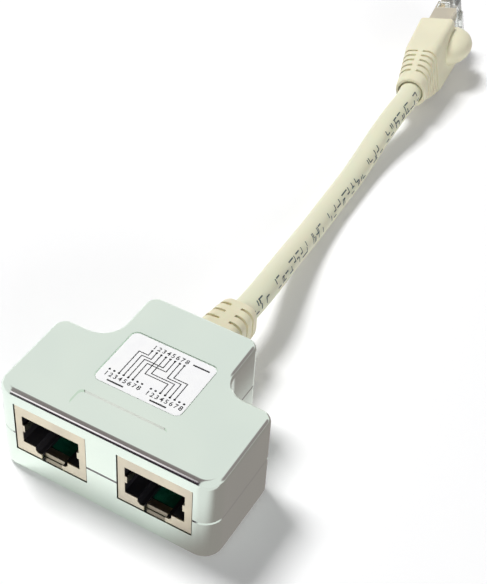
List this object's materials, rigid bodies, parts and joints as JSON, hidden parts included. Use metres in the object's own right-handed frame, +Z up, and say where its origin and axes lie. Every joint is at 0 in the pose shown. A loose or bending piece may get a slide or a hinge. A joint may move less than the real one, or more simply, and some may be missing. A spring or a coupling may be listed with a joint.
{
  "type": "rj45 splitter adapter",
  "caption": "Short network splitter: a plug on a round cable feeds a metallised T-shaped housing with shielded jacks side by side.",
  "frame": {"origin": "middle of the housing's base, on the surface that it stands on", "axes": "+X across the jacks, to the right as seen facing them; +Y from the jack face to the cable; +Z up"},
  "size_m": [0.045, 0.1771, 0.02],
  "materials": {
    "housing_metallised": "metallised plastic, bright satin",
    "label_paper": "matt white with a fine black diagram",
    "board_green": "green solder mask",
    "screen_sheet": "tinned sheet, satin",
    "insulator_black": "moulded, fine matt",
    "insert_green": "moulded",
    "contact_gold": "plated, bright",
    "cable_jacket": "soft jacket, semi-matt",
    "wire_insulation": "smooth",
    "clamp_tin": "tinned strap",
    "relief_beige": "moulded, semi-matt",
    "boot_cream": "moulded, semi-matt",
    "plug_clear": "clear polycarbonate"
  },
  "bodies": {
    "root": {"upper_shell": "housing_metallised", "lower_shell": "housing_metallised", "wiring_label": "label_paper", "circuit_board": "board_green", "left_jack_shield": "screen_sheet", "right_jack_shield": "screen_sheet", "left_jack_body": "insulator_black", "right_jack_body": "insulator_black", "left_contact_insert": "insert_green", "right_contact_insert": "insert_green", "left_pin_block": "insert_green", "right_pin_block": "insert_green", "left_jack_contacts": "contact_gold", "right_jack_contacts": "contact_gold", "cable_inner_end": "cable_jacket", "cable_wires": "wire_insulation", "screen_clamp": "clamp_tin", "strain_relief": "relief_beige", "cable": "cable_jacket", "cable_plug_end": "cable_jacket", "plug_boot": "boot_cream", "plug_body": "plug_clear", "plug_shield": "screen_sheet", "plug_wires": "wire_insulation", "plug_contacts": "contact_gold"}
  },
  "joints": []
}
